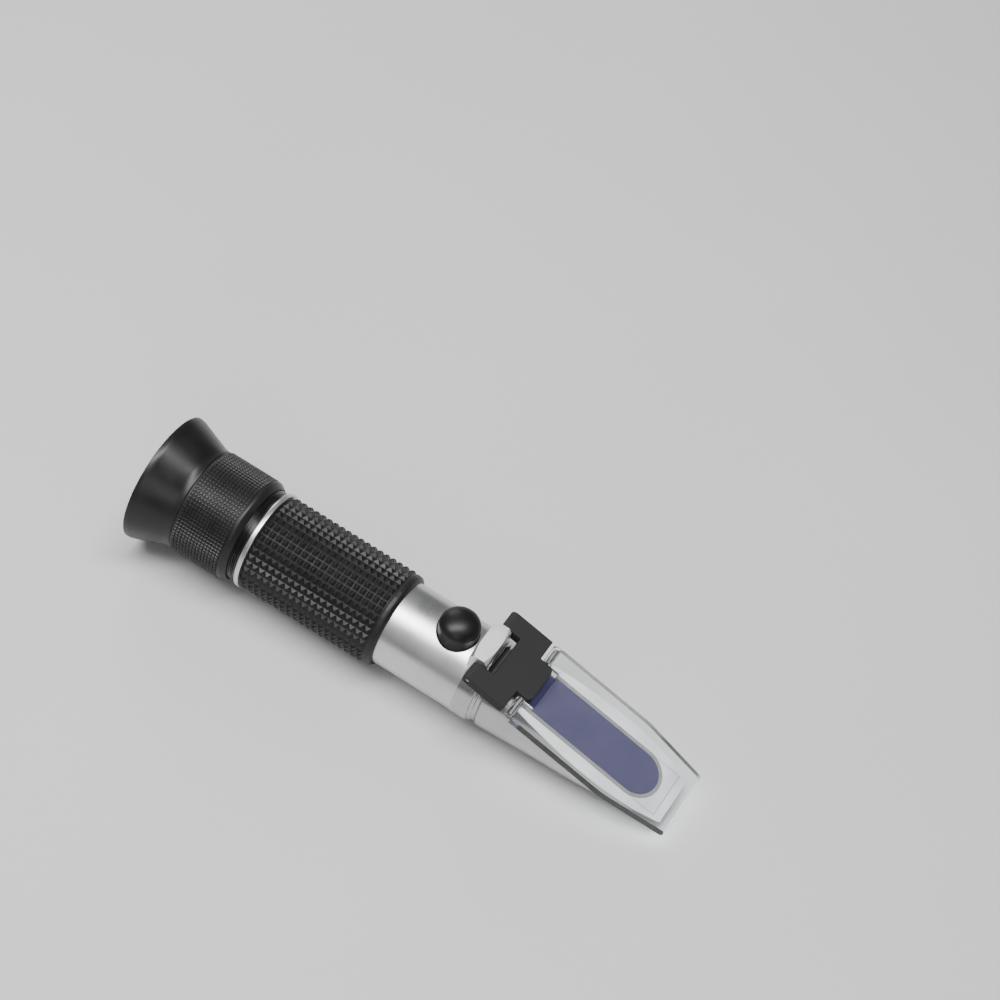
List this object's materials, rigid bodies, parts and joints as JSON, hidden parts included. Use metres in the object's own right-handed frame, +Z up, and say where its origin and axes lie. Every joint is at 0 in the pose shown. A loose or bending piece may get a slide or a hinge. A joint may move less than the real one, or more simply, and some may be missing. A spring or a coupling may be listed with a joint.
{
  "type": "refractometer",
  "caption": "Handheld refractometer: hinged clear plate over a slanted prism, rubber grip, focusing eyepiece with eyecup, and a capped calibration screw.",
  "frame": {"origin": "on the optical axis, in the plane of the eyecup's rim", "axes": "+X forwards along the optical axis to the prism's tip, +Z up on the side of the cover's hinge and the calibration cap, +Y to the left seen from the eyecup"},
  "size_m": [0.1689, 0.0382, 0.0382],
  "materials": {
    "eyecup_rubber": "semi-gloss moulded rubber",
    "focus_plastic": "finely knurled matt plastic",
    "grip_rubber": "matt rubber moulded with small pyramids",
    "cap_rubber": "glossy rubber",
    "seal_rubber": "plain rubber",
    "black_anodised": "black anodised",
    "satin_aluminium": "satin, turned",
    "head_nickel": "polished nickel plate",
    "face_satin": "satin, fine speckle",
    "spring_steel": "plain",
    "brass": "turned",
    "bimetal": "rolled strip",
    "optical_glass": "coated, polished",
    "prism_glass": "polished, blue coating behind",
    "sealant": "matt grey sealant",
    "bracket_plastic": "matt moulded plastic",
    "clear_acrylic": "clear, polished, bevelled edges"
  },
  "bodies": {
    "barrel": {"eyepiece_guide": "black_anodised", "guide_screw": "spring_steel", "grip_end_ring": "satin_aluminium", "rubber_grip": "grip_rubber", "body_tube": "satin_aluminium", "reticle_holder": "black_anodised", "reticle_glass": "optical_glass", "reticle_retaining_ring": "black_anodised", "light_baffle": "black_anodised", "calibration_bush": "brass", "adjusting_spring": "spring_steel", "prism_head": "head_nickel", "main_prism": "prism_glass", "prism_cell": "face_satin", "window_seal": "sealant", "head_o_ring": "seal_rubber", "hinge_pin": "spring_steel"},
    "lens_cell": {"eyepiece_cell": "black_anodised", "eye_lens": "optical_glass", "lens_spacer": "black_anodised", "field_lens": "optical_glass", "lens_retaining_ring": "black_anodised"},
    "focus": {"focus_ring": "focus_plastic", "cell_snap_ring": "spring_steel", "eyecup": "eyecup_rubber"},
    "lens_carriage": {"adjusting_block": "brass", "bimetal_strip": "bimetal", "strip_rivets": "brass", "objective_cell": "black_anodised", "objective_lens": "optical_glass", "objective_retaining_ring": "black_anodised"},
    "screw": {"calibration_screw": "spring_steel"},
    "cap": {"calibration_cap": "cap_rubber"},
    "cover": {"cover_bracket": "bracket_plastic", "plate_pin": "spring_steel"},
    "plate": {"daylight_plate": "clear_acrylic"}
  },
  "joints": [
    {"name": "cover_hinge", "type": "hinge", "parent": "barrel", "child": "cover", "pos_m": [0.1052, 0, 0.0141], "axis": [0, -1, 0], "range_deg": [0, 105]},
    {"name": "plate_levelling", "type": "hinge", "parent": "cover", "child": "plate", "pos_m": [0.1191, 0, 0.01046], "axis": [0, -1, 0], "range_deg": [0, 6]},
    {"name": "focus_travel", "type": "slide", "parent": "barrel", "child": "lens_cell", "axis": [-1, 0, 0], "range_m": [-0.00201, 0.00301]},
    {"name": "focus_turn", "type": "hinge", "parent": "lens_cell", "child": "focus", "pos_m": [0, 0, 0], "axis": [-1, 0, 0], "range_deg": [-120, 180]},
    {"name": "calibration_turn", "type": "hinge", "parent": "barrel", "child": "screw", "pos_m": [0.09485, 0, 0.012], "axis": [0, 0, 1], "range_deg": [-361, 361]},
    {"name": "carriage_travel", "type": "slide", "parent": "barrel", "child": "lens_carriage", "axis": [0, 0, 1], "range_m": [-0.0004, 0.0004], "deforming": ["adjusting_spring"]},
    {"name": "cap_pull", "type": "slide", "parent": "barrel", "child": "cap", "axis": [0, 0, 1], "range_m": [0, 0.03]}
  ],
  "couplings": [
    {"joint": "focus_travel", "follows": "focus_turn", "m_per_rad": 0.00095493},
    {"joint": "calibration_turn", "follows": "carriage_travel", "rad_per_m": -15708}
  ]
}
